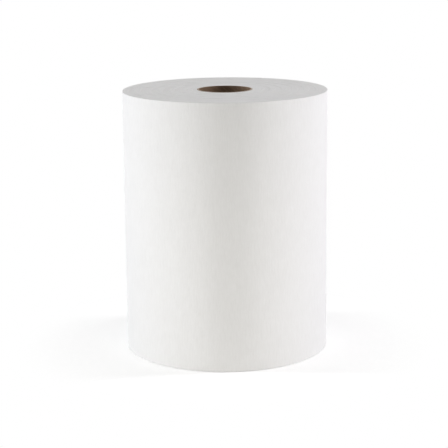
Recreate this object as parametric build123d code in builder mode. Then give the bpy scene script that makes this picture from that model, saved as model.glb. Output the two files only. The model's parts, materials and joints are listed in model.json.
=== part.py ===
"""Roll of towel paper wound on a card core, standing on one end.

Millimetres. The origin is the centre of the lower end, +Z runs up the roll's axis,
and the loose end of the paper (the tail) is on the +Y side.
"""

import os

from build123d import *

# Driving dimensions
web_width = 254.0  # width of the paper, which is the length of the roll
roll_diameter = 198.0  # over the outermost turn
core_bore = 50.8  # clear opening through the core
core_wall = 1.5  # glued card plies
seam_lead = 128.0  # advance of the core's spiral seam in one turn
seam_width = 0.8  # gap between neighbouring edges of the innermost ply
ply_thickness = 0.4  # of that ply, so the depth of its seam
sheet_thickness = 0.3  # one loose turn of paper, the height of the step at the tail
rim_chamfer = 0.5  # knife-cut corner between the outside and each end
band_width = 5.5  # turns that stand proud or lie back together on the ends
band_step = 0.4  # how far the paper wandered between neighbouring bands
band_slope = 0.5  # radial width of the slope between them

# Sizes that follow
bore_radius = core_bore / 2
core_radius = bore_radius + core_wall
roll_radius = roll_diameter / 2
mid_height = web_width / 2
band_pitch = 2 * band_width  # one proud band and one that lies back, in each turn of their spiral
tail_plane = Plane.YZ  # through the roll's axis and the tail, sketch x is +Y and sketch y is +Z


def half_turn_centre(pitch, side):
    """Where, along Y, the half turns of a winding are centred.

    A winding is drawn as half circles, each bigger than the last by half the pitch.
    Those that start on the tail side (side 1) share one centre, and those that start
    opposite (side -1) share another, so neighbours meet without a kink.
    """
    return -side * pitch / 4


def wind(pitch, side, mode):
    """Turn the pending section through half a turn of the winding."""
    axis = Axis((0, half_turn_centre(pitch, side), 0), (0, 0, 1))
    revolve(axis=axis, revolution_arc=180, mode=mode)


# Card core: a tube of spirally wound board, with the open seam of its innermost ply
with BuildPart() as card_core:
    with BuildSketch():
        Circle(core_radius)
        Circle(bore_radius, mode=Mode.SUBTRACT)
    extrude(amount=web_width)
    with BuildLine() as seam_path:
        Helix(seam_lead, web_width + 2 * seam_lead, bore_radius, center=(0, 0, -seam_lead))
    with BuildSketch(Plane(seam_path.line @ 0, x_dir=(1, 0, 0), z_dir=seam_path.line % 0)):
        Rectangle(2 * ply_thickness, seam_width)
    sweep(is_frenet=True, mode=Mode.SUBTRACT)

# Wound towel: every turn of the paper in one solid
with BuildPart() as wound_towel:
    # The outermost turn closes on itself with a step of one sheet, the tail's edge
    for side, radius in ((1, roll_radius - sheet_thickness / 2), (-1, roll_radius)):
        with BuildSketch(tail_plane) as half_section:
            with Locations((half_turn_centre(sheet_thickness, side), mid_height)):
                Rectangle(radius, web_width, align=(Align.MIN if side > 0 else Align.MAX, Align.CENTER))
            chamfer(half_section.vertices().group_by(Axis.X)[-1 if side > 0 else 0], rim_chamfer)
        wind(sheet_thickness, side, Mode.ADD)

    # The paper is wound straight onto the core
    with BuildSketch():
        Circle(core_radius)
    extrude(amount=web_width, mode=Mode.SUBTRACT)

    # Bands of turns that lie back spiral out over both ends, clear of the core and the rim
    off_centre = abs(half_turn_centre(band_pitch, 1))
    first_radius = core_radius + band_width + off_centre
    last_radius = roll_radius - rim_chamfer - band_width - off_centre
    half_turns = int((last_radius - first_radius) // band_width) + 1
    for side in (1, -1):
        with BuildSketch(tail_plane):
            for half_turn in range(0 if side > 0 else 1, half_turns, 2):
                radius = first_radius + half_turn * band_width
                with Locations((half_turn_centre(band_pitch, side) + side * radius, 0)):
                    Polygon(
                        (-band_width / 2 - 1.5 * band_slope, -band_step),
                        (band_width / 2 + 1.5 * band_slope, -band_step),
                        (band_width / 2 - 0.5 * band_slope, band_step),
                        (-band_width / 2 + 0.5 * band_slope, band_step),
                        align=None,
                    )
            mirror(about=Plane.XZ.offset(-mid_height))
        wind(band_pitch, side, Mode.SUBTRACT)

os.makedirs("parts", exist_ok=True)
for name, piece in (("card_core", card_core), ("wound_towel", wound_towel)):
    piece.part.label = name
    export_step(piece.part, f"parts/{name}.step")
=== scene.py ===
import json
import math

import bmesh
import bpy
from mathutils import Matrix, Vector, noise


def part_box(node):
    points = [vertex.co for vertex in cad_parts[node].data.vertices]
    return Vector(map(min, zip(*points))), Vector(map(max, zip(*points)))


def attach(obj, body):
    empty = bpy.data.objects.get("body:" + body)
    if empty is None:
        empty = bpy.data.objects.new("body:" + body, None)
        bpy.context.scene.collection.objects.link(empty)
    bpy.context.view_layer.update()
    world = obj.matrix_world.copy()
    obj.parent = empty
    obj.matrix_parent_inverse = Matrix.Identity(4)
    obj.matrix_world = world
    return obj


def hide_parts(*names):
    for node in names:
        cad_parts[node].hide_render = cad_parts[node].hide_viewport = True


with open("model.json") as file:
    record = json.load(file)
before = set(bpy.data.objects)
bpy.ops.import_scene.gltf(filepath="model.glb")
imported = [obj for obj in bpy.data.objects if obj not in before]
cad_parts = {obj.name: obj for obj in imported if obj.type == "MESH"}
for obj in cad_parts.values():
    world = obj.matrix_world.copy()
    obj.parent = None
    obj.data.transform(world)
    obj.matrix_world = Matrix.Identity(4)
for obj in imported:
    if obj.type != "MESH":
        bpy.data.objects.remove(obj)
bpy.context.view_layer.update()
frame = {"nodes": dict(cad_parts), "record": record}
print("frame:", ", ".join(sorted(frame["nodes"])))

# Sizes that the frame gives, in metres
coreLow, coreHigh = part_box("card_core")
rollLow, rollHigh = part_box("wound_towel")
coreRadius = (coreHigh.y - coreLow.y) / 2
rollRadius = (rollHigh.y - rollLow.y) / 2
rollHeight = rollHigh.z - rollLow.z
coreBore = next(mount for mount in frame["record"]["mounts"] if mount["name"] == "core_bore")
boreRadius = coreBore["dims"]["r_mm"] / 1000

fullTurn = 2 * math.pi
weldReach = 1e-6  # points nearer than this are one
levelFace = 0.5  # a face whose normal is steeper than this is on a cut end
bumpStrength = 0.5  # the same in every finish


def smoothStep(low, high, value):
    share = min(max((value - low) / (high - low), 0), 1)
    return share * share * (3 - 2 * share)


def ripple(*place):  # smooth noise from -1 to 1 in up to three directions, the same on each run
    return noise.noise(Vector((*place, 0, 0, 0)[:3]))


def setRadius(vert, radius):  # distance from the roll's axis
    vert.co.xy = vert.co.xy * (radius / vert.co.xy.length)


def middleOf(edge):
    return (edge.verts[0].co + edge.verts[1].co) / 2


def rise(edge):
    return abs(edge.verts[0].co.z - edge.verts[1].co.z)


def drawLine(bm, points, closed):  # straight edges from point to point
    verts = [bm.verts.new(point) for point in points]
    ends = verts[1:] + verts[:1] if closed else verts[1:]
    return [bm.edges.new(pair) for pair in zip(verts, ends)]


def addPiece(name, bm, materials, node, sharpAngle):
    bm.normal_update()
    bmesh.ops.recalc_face_normals(bm, faces=bm.faces[:])
    for face in bm.faces:
        face.smooth = True
        face.material_index = int(abs(face.normal.z) > levelFace)  # the second material is for cut ends
    for edge in bm.edges:
        edge.smooth = edge.calc_face_angle(0) < math.radians(sharpAngle)
    openEdges = sum(not edge.is_manifold for edge in bm.edges)
    mesh = bpy.data.meshes.new(name)
    bm.to_mesh(mesh)
    bm.free()
    for material in materials:
        mesh.materials.append(material)
    piece = bpy.data.objects.new(name, mesh)
    bpy.context.scene.collection.objects.link(piece)
    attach(piece, "root")
    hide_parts(node)
    triangles = sum(len(polygon.vertices) - 2 for polygon in mesh.polygons)
    print(f"{name}: {triangles} triangles, {openEdges} open edges")


class Wire:
    # a node's output, and sums and products with it add Math nodes
    def __init__(self, finish, socket):
        self.finish = finish
        self.socket = socket

    def __add__(self, other):
        return self.finish.maths("ADD", self, other)

    def __radd__(self, other):
        return self.finish.maths("ADD", other, self)

    def __mul__(self, other):
        return self.finish.maths("MULTIPLY", self, other)

    def __rmul__(self, other):
        return self.finish.maths("MULTIPLY", other, self)


class Finish:
    # a node tree that is filled one node at a time
    def __init__(self, tree):
        self.tree = tree
        tree.nodes.clear()

    def node(self, kind, settings, sockets, output=None):
        made = self.tree.nodes.new("ShaderNode" + kind)
        for key, value in settings.items():
            setattr(made, key, value)
        for key, value in sockets.items():
            socket = next(s for i, s in enumerate(made.inputs) if s.enabled and key in (i, s.name))
            if isinstance(value, Wire):
                self.tree.links.new(value.socket, socket)
            else:
                socket.default_value = (*value, 1) if socket.type == "RGBA" else value
        given = [s for s in made.outputs if s.enabled and output in (None, s.name)]
        return Wire(self, given[0]) if given else None

    def maths(self, operation, *values):
        return self.node("Math", {"operation": operation}, dict(enumerate(values)))

    def mix(self, factor, first, second):  # two colours
        return self.node("Mix", {"data_type": "RGBA"}, {"Factor": factor, "A": first, "B": second})

    def blend(self, shares, *wires):  # so much of each
        first, *rest = [share * wire for share, wire in zip(shares, wires)]
        return sum(rest, first)

    def spread(self, value, low, high):  # low to high becomes 0 to 1
        return self.node("MapRange", {}, {"Value": value, "From Min": low, "From Max": high})

    def tone(self, settings, *wires):  # 0 to 1, from one colour of a finish to the other
        return self.spread(self.blend(settings["toneShares"], *wires), *settings["toneReach"])

    def noise(self, place, perMetre, detail):
        return self.node("TexNoise", {}, {"Vector": place, "Scale": perMetre, "Detail": detail})

    def lines(self, along, perMetre, detail):  # noise that changes one way only
        sockets = {"W": along, "Scale": perMetre, "Detail": detail}
        return self.node("TexNoise", {"noise_dimensions": "1D"}, sockets)

    def place(self):
        return self.node("TexCoord", {}, {}, "Object")

    def stretch(self, place, factors):
        return self.node("VectorMath", {"operation": "MULTIPLY"}, {0: place, 1: factors})

    def part(self, place, axis):
        return self.node("SeparateXYZ", {}, {"Vector": place}, axis)

    def length(self, place):
        return self.node("VectorMath", {"operation": "LENGTH"}, {0: place}, "Value")

    def offAxis(self, place):  # distance from the roll's axis
        return self.length(self.stretch(place, (1, 1, 0)))

    def surface(self, settings, colour, grain, height):  # grain takes the roughness from least to most
        smooth, rough = settings["roughness"]
        relief = {"Height": height, "Distance": settings["relief"], "Strength": bumpStrength}
        shader = self.node("BsdfPrincipled", {}, {
            "Base Color": colour,
            "Roughness": smooth + (rough - smooth) * grain,
            "Normal": self.node("Bump", {}, relief),
            "Specular IOR Level": settings["shine"],
        })
        self.node("OutputMaterial", {}, {"Surface": shader})


def newFinish(name):
    material = bpy.data.materials.new(name)
    material.use_nodes = True
    return material, Finish(material.node_tree)


# Towel paper, outside of the roll: bleached white, creped across the web
paperFace = {
    "white": (0.9, 0.9, 0.9),
    "shade": (0.842, 0.841, 0.838),  # thinner places
    "ridges": (1, 1, 0.12),  # stretches the crepe up the roll
    "crepe": (850, 3),  # to a metre, and how finely it is broken up
    "fineCrepe": (2600, 3),
    "fibres": (5200, 3),
    "clouds": (75, 5),
    "toneShares": (0.14, 0.46, 0.4),  # clouds, crepe, fine crepe
    "toneReach": (0.33, 0.67),
    "reliefShares": (0.5, 0.3, 0.2),  # crepe, fine crepe, fibres
    "relief": 0.0003,
    "roughness": (0.84, 0.96),
    "shine": 0.25,
}


def makePaperFace():
    material, finish = newFinish("towelPaperFace")
    place = finish.place()
    ridged = finish.stretch(place, paperFace["ridges"])
    crepe = finish.noise(ridged, *paperFace["crepe"])
    fineCrepe = finish.noise(ridged, *paperFace["fineCrepe"])
    fibres = finish.noise(place, *paperFace["fibres"])
    clouds = finish.noise(place, *paperFace["clouds"])
    tone = finish.tone(paperFace, clouds, crepe, fineCrepe)
    colour = finish.mix(tone, paperFace["shade"], paperFace["white"])
    height = finish.blend(paperFace["reliefShares"], crepe, fineCrepe, fibres)
    finish.surface(paperFace, colour, fibres, height)
    return material


# Towel paper, cut edges on the ends: thin rings, one for each turn, whose darker tone is painted shade
# between turns that lie apart, mixed with tone that differs at random
paperEdge = {
    "white": (0.905, 0.905, 0.902),
    "shade": (0.79, 0.788, 0.782),  # painted shade between turns that lie apart
    "turns": (8500, 2),  # to a metre, and how finely it is broken up
    "groups": (1100, 4),  # turns that were wound a little tighter or looser, with painted shade where they lie apart
    "fuzz": (3200, 4),
    "waver": 0.0003,  # how far the rings stray from round
    "wavers": (30, 2),
    "toneShares": (0.25, 0.45, 0.3),  # turns, groups, fuzz
    "toneReach": (0.3, 0.7),
    "reliefShares": (0.35, 0.35, 0.3),  # the same three
    "relief": 0.0003,
    "roughness": (0.88, 1.0),
    "shine": 0.2,
}


def makePaperEdge():
    material, finish = newFinish("towelPaperEdge")
    place = finish.place()
    radius = finish.offAxis(place) + paperEdge["waver"] * finish.noise(place, *paperEdge["wavers"])
    turns = finish.lines(radius, *paperEdge["turns"])
    groups = finish.lines(radius, *paperEdge["groups"])
    fuzz = finish.noise(place, *paperEdge["fuzz"])
    # toward the shade colour is painted shade between turns that lie apart; the fuzz is tone that differs
    # at random
    tone = finish.tone(paperEdge, turns, groups, fuzz)
    colour = finish.mix(tone, paperEdge["shade"], paperEdge["white"])
    height = finish.blend(paperEdge["reliefShares"], turns, groups, fuzz)
    finish.surface(paperEdge, colour, fuzz, height)
    return material


# Kraft board of the core, with fibres along its spiral plies
kraftBoard = {
    "brown": (0.27, 0.18, 0.115),
    "dark": (0.155, 0.098, 0.06),
    "pale": (0.38, 0.28, 0.195),  # long fibres
    "grain": (1, 1, 0.08),  # stretches the fibres along the plies
    "streaks": (420, 5),  # to a metre, and how finely it is broken up
    "flecks": (2300, 2),
    "patches": (70, 3),
    "toneShares": (0.5, 0.5),  # streaks, patches
    "toneReach": (0.3, 0.7),
    "fleckReach": (0.58, 0.75),
    "fleckShare": 0.7,
    "reliefShares": (0.6, 0.4),  # streaks, flecks
    "relief": 0.0003,
    "roughness": (0.75, 0.9),
    "shine": 0.3,
}


def makeKraftBoard(lead):
    material, finish = newFinish("kraftBoard")
    place = finish.place()
    unwind = finish.part(place, "Z") * (-fullTurn / lead)  # so that the plies run straight up
    turned = {"Vector": place, "Angle": unwind}
    straight = finish.node("VectorRotate", {"rotation_type": "Z_AXIS"}, turned)
    grained = finish.stretch(straight, kraftBoard["grain"])
    streaks = finish.noise(grained, *kraftBoard["streaks"])
    flecks = finish.noise(grained, *kraftBoard["flecks"])
    patches = finish.noise(place, *kraftBoard["patches"])
    tone = finish.tone(kraftBoard, streaks, patches)
    colour = finish.mix(tone, kraftBoard["dark"], kraftBoard["brown"])
    paleFlecks = kraftBoard["fleckShare"] * finish.spread(flecks, *kraftBoard["fleckReach"])
    colour = finish.mix(paleFlecks, colour, kraftBoard["pale"])
    height = finish.blend(kraftBoard["reliefShares"], streaks, flecks)
    finish.surface(kraftBoard, colour, streaks, height)
    return material


# Kraft board where it was cut: paler, with the layers of its plies
kraftCut = {
    "pale": (0.73, 0.65, 0.57),
    "brown": (0.53, 0.45, 0.38),
    "layers": (5000, 2),  # to a metre, and how finely it is broken up
    "fuzz": (3500, 3),
    "toneShares": (0.5, 0.5),  # layers, fuzz
    "toneReach": (0.3, 0.65),
    "reliefShares": (0.5, 0.5),  # the same two
    "relief": 0.0003,
    "roughness": (0.85, 1.0),
    "shine": 0.2,
}


def makeKraftCut():
    material, finish = newFinish("kraftCut")
    place = finish.place()
    layers = finish.lines(finish.offAxis(place), *kraftCut["layers"])
    fuzz = finish.noise(place, *kraftCut["fuzz"])
    tone = finish.tone(kraftCut, layers, fuzz)
    colour = finish.mix(tone, kraftCut["brown"], kraftCut["pale"])
    height = finish.blend(kraftCut["reliefShares"], layers, fuzz)
    finish.surface(kraftCut, colour, fuzz, height)
    return material


# The wound paper, in metres. Each turn that is drawn stands for two or three of the real ones
towel = {
    "turns": 240,
    "stepsRound": 180,
    "wallRows": 26,
    "rollRadiusAt": 0.75,  # of a turn from the tail's edge, where the outside is rollRadius from the axis
    "bandWidth": 0.0055,  # turns that lie back together on the ends
    "bandDepth": 0.0004,
    "bandSlope": 0.0008,
    "bandTurns": 5.5,  # of the spiral that they make, from near the core to near the rim
    "bandFade": 0.12,  # of a turn, at its two ends
    "bandChange": 0.5,  # of its depth, on its way
    "bandChangesPerTurn": 1.6,
    "wander": 0.0002,  # between one turn and the next, on the ends
    "wandersPerTurn": 3.7,
    "wanderRow": 1,  # rows of the noise that lie apart, so that no two patterns are alike
    "drift": 0.00016,  # over some ten turns
    "driftsPerTurn": 0.21,
    "driftRow": 9,
    "rimWidth": 0.0012,  # turns that have slipped back at the rim
    "rimDepth": 0.0003,
    "slack": 0.00015,  # how far the outside strays from round
    "slackDepth": 0.004,  # turns that stray with it
    "slackCircle": 1.7,  # radius of the way through the noise, about ten waves once round the roll
    "slackWave": 0.08,  # height of a wave
    "tailSteps": 15,  # of stepsRound, the loose end that stands off the roll
    "tailLift": 0.0018,
    "tailCurl": 0.75,  # share of the lift that is the same all the way up
    "tailWave": 0.35,  # share that comes and goes
    "tailWaves": 2.3,  # up the whole edge
    "tailWaveRow": 5.1,
    "tailCorner": 0.5,  # share that the upper corner has besides
    "tailCornerReach": (0.75, 1.05),  # of the height
    "sharpAngle": 35,  # degrees
}
pitch = (rollRadius - coreRadius) / towel["turns"]
tailStart = fullTurn * (1 - towel["tailSteps"] / towel["stepsRound"])


def windAngle(point):  # round the roll from the tail's edge, the way that the paper is wound
    return math.atan2(-point.x, point.y) % fullTurn


def tailAngle(point):  # the same, with the tail's edge at a full turn
    angle = windAngle(point)
    return angle if angle > math.pi else angle + fullTurn


def windRadius(angle):  # of the outside, which grows by one turn on its way round to the tail
    return rollRadius + pitch * (angle / fullTurn - towel["rollRadiusAt"])


def windPaper(bm):
    corners = ((coreRadius, 0), (rollRadius, 0), (rollRadius, rollHeight), (coreRadius, rollHeight))
    section = drawLine(bm, [(0, radius, z) for radius, z in corners], closed=True)
    lowerEnd, outside, upperEnd = section[:3]
    bmesh.ops.subdivide_edges(bm, edges=[lowerEnd, upperEnd], cuts=towel["turns"] - 1)
    bmesh.ops.subdivide_edges(bm, edges=[outside], cuts=towel["wallRows"] - 1)
    swept = bmesh.ops.spin(
        bm, geom=bm.verts[:] + bm.edges[:], cent=(0, 0, 0), axis=(0, 0, 1),
        angle=fullTurn, steps=towel["stepsRound"], use_merge=False,
    )
    lastVerts = set(swept["geom_last"])
    for vert in bm.verts:
        radius = vert.co.xy.length
        angle = fullTurn if vert in lastVerts else windAngle(vert.co)
        if radius > coreRadius + pitch / 2:
            setRadius(vert, radius - rollRadius + windRadius(angle))
    bmesh.ops.remove_doubles(bm, verts=bm.verts[:], dist=weldReach)  # each turn runs on into the next
    openEdges = [edge for edge in bm.edges if edge.is_boundary]
    bmesh.ops.holes_fill(bm, edges=openEdges, sides=3)  # the corners where the first turn starts


def onTail(vert):  # on the last turn, and not on the one that comes out from under its edge
    return vert.co.xy.length > windRadius(tailAngle(vert.co)) - pitch / 4


def underTail(edge):  # on an end, between the loose end of the paper and the turn below it
    middle = middleOf(edge)
    angle = windAngle(middle)
    return angle > tailStart and abs(middle.xy.length - windRadius(angle) + pitch) < pitch / 4


def tailLift(point):
    free = max((tailAngle(point) - tailStart) / (fullTurn - tailStart), 0)
    height = point.z / rollHeight
    wave = towel["tailWave"] * ripple(towel["tailWaves"] * height, towel["tailWaveRow"])
    corner = towel["tailCorner"] * smoothStep(*towel["tailCornerReach"], height)
    return towel["tailLift"] * (towel["tailCurl"] + wave + corner) * free ** 2


def hangWall(bm, edges):  # from the upper edges to the lower ones, in as many rows as the outside
    faces = bmesh.ops.bridge_loops(bm, edges=edges)["faces"]
    uprights = dict.fromkeys(e for face in faces for e in face.edges if rise(e) > rollHeight / 2)
    cuts = towel["wallRows"] - 1
    rows = bmesh.ops.subdivide_edges(bm, edges=list(uprights), cuts=cuts, use_grid_fill=True)
    return {v for v in rows["geom_inner"] if isinstance(v, bmesh.types.BMVert)}


def loosenTail(bm):
    bmesh.ops.split_edges(bm, edges=[edge for edge in bm.edges if underTail(edge)])
    below, above = [], []
    for edge in bm.edges:
        if edge.is_boundary and underTail(edge):
            outward = edge.link_faces[0].calc_center_median().xy.length > middleOf(edge).xy.length
            (above if outward else below).append(edge)
    hangWall(bm, below)
    underside = hangWall(bm, above) | {vert for edge in above for vert in edge.verts}
    for vert in bm.verts:
        if vert in underside or onTail(vert):
            setRadius(vert, vert.co.xy.length + tailLift(vert.co))
    bmesh.ops.remove_doubles(bm, verts=bm.verts[:], dist=weldReach)
    cutEdge = [edge for edge in bm.edges if edge.is_boundary and rise(edge) > pitch]
    bmesh.ops.bridge_loops(bm, edges=cutEdge)


def bandRecess(point):  # of the turns that lie back together, in one spiral over the whole end
    width, slope = towel["bandWidth"], towel["bandSlope"]
    fade, turns = towel["bandFade"], towel["bandTurns"]
    lead = 2 * width  # one band that lies back and one that doesn't
    outward = (point.xy.length - coreRadius - width) / lead
    turned = windAngle(point) / fullTurn
    along = round(outward - turned) + turned  # turns of the spiral up to here
    share = 1 - smoothStep((width - slope) / 2, (width + slope) / 2, abs(outward - along) * lead)
    share *= smoothStep(0, fade, along) * (1 - smoothStep(turns - fade, turns, along))
    change = towel["bandChange"] * ripple(towel["bandChangesPerTurn"] * along)
    return towel["bandDepth"] * share * (1 + change)


def turnRecess(point):  # one turn never lies quite level with the next
    turn = (point.xy.length - coreRadius) / pitch
    wander = towel["wander"] * (1 + ripple(towel["wandersPerTurn"] * turn, towel["wanderRow"]))
    drift = towel["drift"] * (1 + ripple(towel["driftsPerTurn"] * turn, towel["driftRow"]))
    return (wander + drift) / 2


def rimRecess(point):  # the last turns have slipped back a little
    inward = windRadius(windAngle(point)) - point.xy.length
    share = min(max(1 - inward / towel["rimWidth"], 0), 1)
    return towel["rimDepth"] * share ** 2


def shapeEnds(bm):
    for vert in bm.verts:
        recess = bandRecess(vert.co) + turnRecess(vert.co) + rimRecess(vert.co)
        if vert.co.z < pitch:
            vert.co.z += recess
        elif vert.co.z > rollHeight - pitch:
            vert.co.z -= recess


def shapeOutside(bm):
    for vert in bm.verts:
        radius = vert.co.xy.length
        share = smoothStep(rollRadius - towel["slackDepth"], rollRadius, radius)
        if share:
            around = vert.co.xy.normalized() * towel["slackCircle"]
            stray = towel["slack"] * ripple(*around, vert.co.z / towel["slackWave"])
            setRadius(vert, radius + stray * share)


def makeTowel():
    bm = bmesh.new()
    windPaper(bm)
    loosenTail(bm)
    shapeEnds(bm)
    shapeOutside(bm)
    materials = [makePaperFace(), makePaperEdge()]
    addPiece("towelRoll", bm, materials, "wound_towel", towel["sharpAngle"])


# The core, in metres: plies of kraft board wound in a spiral, cut off square
core = {
    "stepsRound": 120,
    "rowsPerLead": 14,
    "seamLead": 0.128,  # rise of the innermost ply's seam in one turn
    "seamRise": 0.00102,  # height of its gap
    "seamDepth": 0.0004,
    "plies": 3,
    "plyGap": 0.00012,  # glue lines on the cut ends
    "plyGapDepth": 0.00012,
    "leastEdge": 0.00002,  # slivers where the seam meets the cut are closed up
    "sharpAngle": 40,  # degrees
}


def windInnerPly(bm):
    half, depth, lead = core["seamRise"] / 2, core["seamDepth"], core["seamLead"]
    outline = ((0, -half), (depth, -half), (depth, half), (0, half), (0, lead - half))
    section = drawLine(bm, [(boreRadius + deep, 0, z - lead) for deep, z in outline], closed=False)
    bmesh.ops.subdivide_edges(bm, edges=section[-1:], cuts=core["rowsPerLead"] - 1)
    turns = math.ceil(rollHeight / lead) + 1
    bmesh.ops.spin(
        bm, geom=bm.verts[:] + bm.edges[:], cent=(0, 0, 0), axis=(0, 0, 1),
        dvec=(0, 0, lead / core["stepsRound"]), angle=turns * fullTurn,
        steps=turns * core["stepsRound"], use_merge=False,
    )
    bmesh.ops.remove_doubles(bm, verts=bm.verts[:], dist=weldReach)
    for height, facing in ((0, -1), (rollHeight, 1)):
        bmesh.ops.bisect_plane(
            bm, geom=bm.verts[:] + bm.edges[:] + bm.faces[:], dist=weldReach,
            plane_co=(0, 0, height), plane_no=(0, 0, facing), clear_outer=True,
        )


def cutEnds(bm):
    plyWall = (coreRadius - boreRadius) / core["plies"]
    half, depth = core["plyGap"] / 2, core["plyGapDepth"]
    rings = []
    for glueLine in range(1, core["plies"]):
        radius = boreRadius + glueLine * plyWall
        rings += [(radius - half, 0), (radius, depth), (radius + half, 0)]
    rings.append((coreRadius, 0))
    for height, inward in ((0, 1), (rollHeight, -1)):
        edges = [e for e in bm.edges if e.is_boundary and abs(middleOf(e).z - height) < weldReach]
        for radius, deep in rings:
            drawn = bmesh.ops.extrude_edge_only(bm, edges=edges)["geom"]
            edges = [e for e in drawn if isinstance(e, bmesh.types.BMEdge) and e.is_boundary]
            for vert in {v for e in edges for v in e.verts}:
                setRadius(vert, radius)
                vert.co.z = height + inward * deep
    bmesh.ops.dissolve_degenerate(bm, edges=bm.edges[:], dist=core["leastEdge"])


def offColumn(vert):  # not on one of the spin's columns, which alone are the same at both ends
    away = math.remainder(math.atan2(vert.co.y, vert.co.x), fullTurn / core["stepsRound"])
    return abs(away) * coreRadius > core["leastEdge"]


def closeOutside(bm):
    bmesh.ops.dissolve_verts(bm, verts=[v for v in bm.verts if v.is_boundary and offColumn(v)])
    bmesh.ops.bridge_loops(bm, edges=[e for e in bm.edges if e.is_boundary])


def makeCore():
    bm = bmesh.new()
    windInnerPly(bm)
    cutEnds(bm)
    closeOutside(bm)
    materials = [makeKraftBoard(core["seamLead"]), makeKraftCut()]
    addPiece("coreTube", bm, materials, "card_core", core["sharpAngle"])


# Floor, white to the camera but for the soft shadow of the roll
floorLook = {
    "reach": 3.0,
    "segments": 96,
    "pale": (0.85, 0.85, 0.85),  # as the roll sees it
    "shaded": (0.7, 0.7, 0.7),  # as the camera sees it near the roll
    "glow": 0.44,  # which makes the shaded colour just white where no shadow falls
    "shadowFades": (0.1, 0.21),  # metres from the roll's axis
}
white = (1, 1, 1)


def seenDirectly(finish):  # 1 for what the camera sees, also in or through something
    kinds = ("Camera", "Glossy", "Transmission")
    camera, glossy, through = (finish.node("LightPath", {}, {}, f"Is {kind} Ray") for kind in kinds)
    return finish.maths("MAXIMUM", finish.maths("MAXIMUM", camera, glossy), through)


def makeFloorFinish():
    material, finish = newFinish("studioFloor")
    near, far = floorLook["shadowFades"]
    away = {"Value": finish.length(finish.place()), "From Min": near, "From Max": far}
    clear = finish.node("MapRange", {"interpolation_type": "SMOOTHSTEP"}, away)
    plain = finish.node("BsdfDiffuse", {}, {"Color": floorLook["pale"]})
    shaded = finish.node("BsdfDiffuse", {}, {"Color": floorLook["shaded"]})
    glow = finish.node("Emission", {}, {"Color": white, "Strength": floorLook["glow"]})
    bright = finish.node("Emission", {}, {"Color": white, "Strength": 1})
    nearRoll = finish.node("AddShader", {}, {0: shaded, 1: glow})
    shown = finish.node("MixShader", {}, {"Fac": clear, 1: nearRoll, 2: bright})
    shader = finish.node("MixShader", {}, {"Fac": seenDirectly(finish), 1: plain, 2: shown})
    finish.node("OutputMaterial", {}, {"Surface": shader})
    return material


def makeFloor():
    bm = bmesh.new()
    bmesh.ops.create_circle(bm, cap_ends=True, radius=floorLook["reach"], segments=floorLook["segments"])
    mesh = bpy.data.meshes.new("studioFloor")
    bm.to_mesh(mesh)
    bm.free()
    mesh.materials.append(makeFloorFinish())
    floor = bpy.data.objects.new("studioFloor", mesh)
    bpy.context.scene.collection.objects.link(floor)


# Light: a pale room, a tall softbox on each side, one overhead, and a low card in front and behind
studio = {
    "room": (0.2, 0.2, 0.2),
    "lamps": {  # place, width and height, watts, colour
        "leftSoftbox": ((-2.2, 0.03, 0.74), (0.20, 1.4), 32.8, (0.97, 0.98, 1)),
        "rightSoftbox": ((2.2, 0.23, 0.95), (0.34, 1.6), 35.8, (0.98, 0.965, 1)),
        "topSoftbox": ((0.0, -0.35, 1.7), (0.90, 0.9), 4.0, (1, 0.97, 0.92)),
        "frontCard": ((0.0, -0.6, 0.03), (0.50, 0.05), 0.93, (1, 0.97, 0.89)),
        "rearCard": ((0.0, 1.0, 0.25), (0.80, 0.3), 1.4, (1, 1, 1)),
    },
}


def lightStudio():
    world = bpy.data.worlds.new("paleRoom")
    world.use_nodes = True
    bpy.context.scene.world = world
    finish = Finish(world.node_tree)
    shown = finish.mix(seenDirectly(finish), studio["room"], white)
    sky = finish.node("Background", {}, {"Color": shown, "Strength": 1})
    finish.node("OutputWorld", {}, {"Surface": sky})
    middle = Vector((0, 0, rollHeight / 2))
    for name, (place, size, watts, colour) in studio["lamps"].items():
        lamp = bpy.data.lights.new(name, "AREA")
        lamp.shape = "RECTANGLE"
        lamp.size, lamp.size_y = size
        lamp.energy = watts
        lamp.color = colour
        light = bpy.data.objects.new(name, lamp)
        light.location = place
        light.rotation_euler = (middle - light.location).to_track_quat("-Z", "Y").to_euler()
        light.visible_camera = False
        bpy.context.scene.collection.objects.link(light)


# Camera, as far away and as high as the photograph's
photoView = {
    "eye": (0.0, -1.396, 0.4277),
    "down": 12.41,  # degrees below level
    "left": 0.08,  # degrees
    "roll": -0.52,  # degrees
    "lens": 116.6,  # millimetres, for a frame 36 mm wide
}


def setCamera():
    lens = bpy.data.cameras.new("photoCamera")
    lens.lens = photoView["lens"]
    camera = bpy.data.objects.new("photoCamera", lens)
    turn = Matrix.Rotation(math.radians(photoView["left"]), 4, "Z")
    tilt = Matrix.Rotation(math.radians(90 - photoView["down"]), 4, "X")
    roll = Matrix.Rotation(math.radians(photoView["roll"]), 4, "Z")
    camera.matrix_world = Matrix.Translation(photoView["eye"]) @ turn @ tilt @ roll
    bpy.context.scene.collection.objects.link(camera)
    bpy.context.scene.camera = camera


makeTowel()
makeCore()
makeFloor()
lightStudio()
setCamera()
bpy.context.scene.view_settings.view_transform = "Standard"
print("studio: floor, light and camera set")
